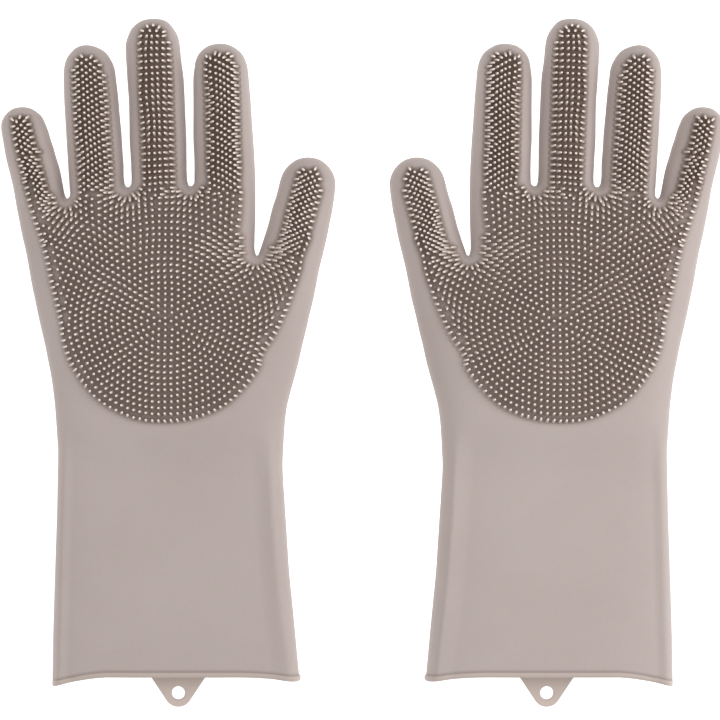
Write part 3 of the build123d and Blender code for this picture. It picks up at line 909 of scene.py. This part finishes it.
def parting_line():
    """Thin flash where the two halves of the mould met, round the edge of the glove at mid height."""
    p = LOOP
    d = np.roll(p, -1, 0) - np.roll(p, 1, 0)
    d /= np.linalg.norm(d, axis=1)[:, None]
    n = np.column_stack([-d[:, 1], d[:, 0]])
    zc = thick(p)[1]
    ang = np.radians([-90, -45, 0, 45, 90])
    out = FLASH - 0.42 + 0.42 * np.cos(ang)
    up = 0.34 * np.sin(ang)
    v = np.concatenate([p[:, None, :] + n[:, None, :] * out[None, :, None], (zc[:, None] + up[None])[:, :, None]], 2)
    vn = np.concatenate([n[:, None, :] * np.cos(ang)[None, :, None], np.tile(np.sin(ang)[None, :, None], (len(p), 1, 1))], 2)
    m, k = len(p), len(ang)
    i = np.arange(m)
    i2 = (i + 1) % m
    f = np.stack([np.stack([i * k + j, i2 * k + j, i2 * k + j + 1, i * k + j + 1], 1) for j in range(k - 1)], 1)
    mid = 0.5 * (p + np.roll(p, -1, 0)) - n * 1.0
    z = zone_of(mid)
    z = np.where((p[:, 1] > Y_CUT + 0.2) & (np.roll(p, -1, 0)[:, 1] > Y_CUT + 0.2), z, -1)
    return v.reshape(-1, 3), vn.reshape(-1, 3), f, z


PV, PN, PF, PZ = parting_line()
PV = droop(PV)
a_, b_, c_ = PV[PF[:, 0, 0]], PV[PF[:, 0, 1]], PV[PF[:, 0, 2]]
if (np.cross(b_ - a_, c_ - a_) * PN[PF[:, 0, 0]]).sum() < 0:
    PF = PF[:, :, ::-1]

# each bristle's painted shade is as deep as the painted shade on the skin round its root
pin_shade_depth = shade_depth_at
ZB = zone_of(root[:, :2])
names = ["hand"] + [f"{n}_{p}" for n in FINGERS for p in ("base", "tip")]
for side in ("left", "right"):
    for z, zn in enumerate(names):
        keep = ZF == z
        ov, of, on, oa = take(VD, F, NRM, keep, {"painted_shade": SKIN_PAINTED_SHADE})
        iv, if_, inn, ia = take(inner_v, F, -NRM, keep, {"painted_shade": np.zeros(len(V))})
        v = np.concatenate([ov, iv])
        n = np.concatenate([on, inn])
        f = np.concatenate([of, if_[:, ::-1] + len(ov)])
        mi = np.concatenate([np.zeros(len(of)), np.ones(len(if_))])
        shade_paint = np.concatenate([oa["painted_shade"], ia["painted_shade"]])
        pf = PF[PZ == z].reshape(-1, 4)
        used = np.unique(pf)
        new = np.full(len(PV), -1)
        new[used] = np.arange(len(used)) + len(v)
        v, n = np.concatenate([v, PV[used]]), np.concatenate([n, PN[used]])
        f, mi = np.concatenate([f, new[pf]]), np.concatenate([mi, np.zeros(len(pf))])
        shade_paint = np.concatenate([shade_paint, np.zeros(len(used))])
        if side == "right":
            v, n, f = v * [-1, 1, 1], n * [-1, 1, 1], f[:, ::-1]
        o = write_mesh(f"{side}_{zn}_skin", v, [f], normals=n, attrs={"painted_shade": shade_paint}, materials=[SKIN, INNER], mat_index=mi)
        bind(o, z)
        P = side + "_"
        if z == 0:
            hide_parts(P + "sleeve", P + "wrist_flex", P + "palm_shell")
        elif z % 2:
            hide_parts(P + zn + "_stall", P + zn.split("_")[0] + "_flex")
        else:
            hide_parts(P + zn + "_stall")
        b = pins(np.where(ZB == z)[0], f"{side}_{'palm' if z == 0 else zn}_pins", side)
        bind(b, z)
        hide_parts(P + ("palm" if z == 0 else zn) + "_bristles")


# ------------------------------------------------------------------ rim bead and hang tab
def section(y, count=220):
    """The sleeve's outer section at the cut, as an even loop of points with outward normals."""
    x = np.linspace(-159.5, -29.0, 4001)
    xy = np.column_stack([x, np.full_like(x, y)])
    u = bspline(U, xy)
    a, zc = thick(xy)
    ok = u > 0
    x, u, a, zc, pa = x[ok], u[ok], a[ok], zc[ok], panel(xy)[ok]
    top = np.column_stack([x, zc + a * np.sqrt(u) - pa * smooth(np.sqrt(u), 0.15, 0.85)])
    bot = np.column_stack([x, zc - a * np.sqrt(u)])[::-1]
    loop = np.concatenate([top, bot])
    seg = np.linalg.norm(np.roll(loop, -1, 0) - loop, axis=1)
    s = np.concatenate([[0], np.cumsum(seg)])
    t = np.linspace(0, s[-1], count, endpoint=False)
    full = np.concatenate([loop, loop[:1]])
    q = np.column_stack([np.interp(t, s, full[:, k]) for k in (0, 1)])
    for _ in range(4):
        q = 0.5 * q + 0.25 * (np.roll(q, 1, 0) + np.roll(q, -1, 0))
    d = np.roll(q, -1, 0) - np.roll(q, 1, 0)
    n = np.column_stack([-d[:, 1], d[:, 0]])
    n /= np.linalg.norm(n, axis=1)[:, None]
    return q, n


def rim_bead(side):
    """Rounded bead round the open end, over both faces of the wall."""
    q, n = section(Y_CUT)
    y0, y1 = -156.4, -159.1
    out, inn, r = 1.15, -WALL - 0.35, 0.9
    prof = []
    corners = [(y0, inn, 0.5), (y0, out, 0.8), (y1, out, 1.0), (y1, inn, 0.8)]
    for i, (cy, co, cr) in enumerate(corners):
        sy = 1 if cy == y0 else -1
        so = 1 if co == out else -1
        a0 = {(1, -1): 90, (1, 1): 0, (-1, 1): -90, (-1, -1): 180}[(sy, so)]
        ring = []
        for a in np.linspace(0, 90, 5):
            ring.append(math.radians(a0 + a))
        pts = [(cy - sy * cr + cr * math.sin(t), co - so * cr + cr * math.cos(t)) for t in ring]
        pts.sort(key=lambda p: 0)
        prof.append((sy, so, pts))
    order = []
    for sy, so, pts in prof:
        if (sy, so) == (1, -1):
            order += sorted(pts, key=lambda p: p[1])
        elif (sy, so) == (1, 1):
            order += sorted(pts, key=lambda p: p[1])
        elif (sy, so) == (-1, 1):
            order += sorted(pts, key=lambda p: -p[1])
        else:
            order += sorted(pts, key=lambda p: -p[1])
    prof = np.array(order)
    m, k = len(q), len(prof)
    v = np.empty((m, k, 3))
    lip = np.where(prof[None, :, 1] > 0, 1 - 0.75 * smooth(-n[:, None, 0], 0.3, 0.9), 1.0)        # it stands out less at the little finger's side
    v[:, :, 0] = q[:, None, 0] + n[:, None, 0] * prof[None, :, 1] * lip
    v[:, :, 2] = q[:, None, 1] + n[:, None, 1] * prof[None, :, 1]
    v[:, :, 1] = prof[None, :, 0]
    v = v.reshape(-1, 3)
    v[:, 2] = np.maximum(v[:, 2], 0.05)
    v = droop(v)
    i = np.arange(m)[:, None] * k
    i2 = ((np.arange(m) + 1) % m)[:, None] * k
    j = np.arange(k)[None, :]
    j2 = (j + 1) % k
    f = np.stack([i + j, i + j2, i2 + j2, i2 + j], -1).reshape(-1, 4)
    return v, f


def tab_mesh():
    """Flat lug with a rounded end and a round hole, its edges softened."""
    cx, cy, r, hole = -94.80, -170.10, 7.2, 3.35
    top = -157.6
    half = 17.0
    px, py = cx - half, top
    d = math.hypot(px - cx, py - cy)
    t = math.atan2(py - cy, px - cx) + math.acos(r / d)
    tx, ty = cx + r * math.cos(t), cy + r * math.sin(t)
    arc0, arc1 = math.atan2(ty - cy, tx - cx), math.atan2(ty - cy, -(tx - cx))
    if arc0 > 0:
        arc0 -= 2 * math.pi
    outer = []
    for a in np.linspace(0, 1, 9)[:-1]:
        outer.append((px + (tx - px) * a, py + (ty - py) * a))
    for a in np.linspace(arc0, arc1, 29):
        outer.append((cx + r * math.cos(a), cy + r * math.sin(a)))
    for a in np.linspace(0, 1, 9)[1:]:
        outer.append((2 * cx - tx + (2 * cx - px - 2 * cx + tx) * a, ty + (py - ty) * a))
    for a in np.linspace(0, 1, 13)[1:-1]:
        outer.append((2 * cx - px + (px - 2 * cx + px) * a, py))
    outer = np.array(outer)
    m = len(outer)
    # hole points matched by angle
    ang = np.unwrap(np.arctan2(outer[:, 1] - cy, outer[:, 0] - cx))
    inner = np.column_stack([cx + hole * np.cos(ang), cy + hole * np.sin(ang)])
    dirs = outer - np.array([cx, cy])
    # outward normal of the outer loop
    e = np.roll(outer, -1, 0) - np.roll(outer, 1, 0)
    on = np.column_stack([e[:, 1], -e[:, 0]])
    on /= np.linalg.norm(on, axis=1)[:, None]
    if (on * dirs).sum() < 0:
        on = -on
    hn = (inner - np.array([cx, cy])) / hole
    zb, zt = 0.05, 2.45
    rr = 0.7
    layers = []
    for k in np.linspace(0, 90, 4):
        c, s = math.cos(math.radians(k)), math.sin(math.radians(k))
        layers.append((outer - on * rr * (1 - c), zt - rr + rr * s))
    mid = [0.25, 0.5, 0.75]
    po = layers[-1][0]
    pi = inner + hn * rr
    for k in mid:
        layers.append((po + (pi - po) * k, zt))
    for k in np.linspace(90, 0, 4):
        c, s = math.cos(math.radians(k)), math.sin(math.radians(k))
        layers.append((inner + hn * rr * (1 - c), zt - rr + rr * s))
    for k in np.linspace(0, 90, 4):
        c, s = math.cos(math.radians(k)), math.sin(math.radians(k))
        layers.append((inner + hn * rr * (1 - c), zb + rr - rr * s))
    for k in mid[::-1]:
        layers.append((po + (pi - po) * k, zb))
    for k in np.linspace(90, 0, 4):
        c, s = math.cos(math.radians(k)), math.sin(math.radians(k))
        layers.append((outer - on * rr * (1 - c), zb + rr - rr * s))
    v = np.concatenate([np.column_stack([p, np.full(m, z)]) for p, z in layers])
    L = len(layers)
    i = np.arange(L)[:, None] * m
    i2 = ((np.arange(L) + 1) % L)[:, None] * m
    j = np.arange(m)[None, :]
    j2 = (j + 1) % m
    f = np.stack([i + j, i + j2, i2 + j2, i2 + j], -1).reshape(-1, 4)
    return v, f


def outward(v, f):
    a = v[f[:, 0]]
    vol = (a * np.cross(v[f[:, 1]], v[f[:, 2]])).sum() + (a * np.cross(v[f[:, 2]], v[f[:, 3]])).sum()
    return f if vol > 0 else f[:, ::-1]


for side in ("left", "right"):
    v, f = rim_bead(side)
    f = outward(v, f)
    tv, tf = tab_mesh()
    tf = outward(tv, tf)
    if side == "right":
        v, f, tv, tf = v * [-1, 1, 1], f[:, ::-1], tv * [-1, 1, 1], tf[:, ::-1]
    bead = write_mesh(side + "_rim_bead", v, [f], materials=[RIM])
    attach(bead, side + "_sleeve")
    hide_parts(side + "_cuff_rim")
    tab = write_mesh(side + "_hang_tab", tv, [tf], materials=[TAB])
    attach(tab, side + "_sleeve")

# ------------------------------------------------------------------ stage, light, camera
def area(name, loc, size, energy, target=(0, 0, 0), colour=(1, 1, 1)):
    l = bpy.data.lights.new(name, "AREA")
    l.shape = "SQUARE"
    l.size = size
    l.energy = energy
    l.color = colour
    o = bpy.data.objects.new(name, l)
    bpy.context.scene.collection.objects.link(o)
    o.location = loc
    o.rotation_euler = (Vector(target) - Vector(loc)).to_track_quat("-Z", "Y").to_euler()
    return o


# the gloves are shown clear of the floor, so that their wrists can bend back above it
me = bpy.data.meshes.new("floor")
s = 3.0
me.from_pydata([(-s, -s, -0.17), (s, -s, -0.17), (s, s, -0.17), (-s, s, -0.17)], [], [(0, 1, 2, 3)])
floor = bpy.data.objects.new("floor", me)
bpy.context.scene.collection.objects.link(floor)
fm, ft, fb = nodes_of("floor_white")
fb.inputs["Base Color"].default_value = (0.93, 0.93, 0.93, 1)
fb.inputs["Roughness"].default_value = 0.9
fb.inputs["Specular IOR Level"].default_value = 0.1
fb.inputs["Emission Color"].default_value = (1, 1, 1, 1)
fb.inputs["Emission Strength"].default_value = 0.5
me.materials.append(fm)

world = bpy.data.worlds.new("studio")
bpy.context.scene.world = world
world.use_nodes = True
bg = world.node_tree.nodes["Background"]
bg.inputs[0].default_value = (1, 1, 1, 1)
bg.inputs[1].default_value = 0.60

area("top_soft", (0.0, 0.05, 1.6), 0.8, 5.5)
area("right_key", (1.0, 0.10, 0.62), 0.6, 7.0)
area("left_fill", (-1.2, 0.15, 0.9), 0.8, 4.0)

cam = bpy.data.cameras.new("camera")
cam.type = "PERSP"
cam.lens = 100
cam.sensor_width = 36
camera = bpy.data.objects.new("camera", cam)
bpy.context.scene.collection.objects.link(camera)
# the picture is 720 px wide at 0.51 mm per px at the height of the gloves
WIDTH = 0.3672
dist = WIDTH / 36.0 * 100.0
camera.location = (-0.0013, 0.0012, dist + 0.011)
camera.rotation_euler = (0, 0, 0)
cam.clip_end = 20
bpy.context.scene.camera = camera
bpy.context.scene.view_settings.view_transform = "Standard"
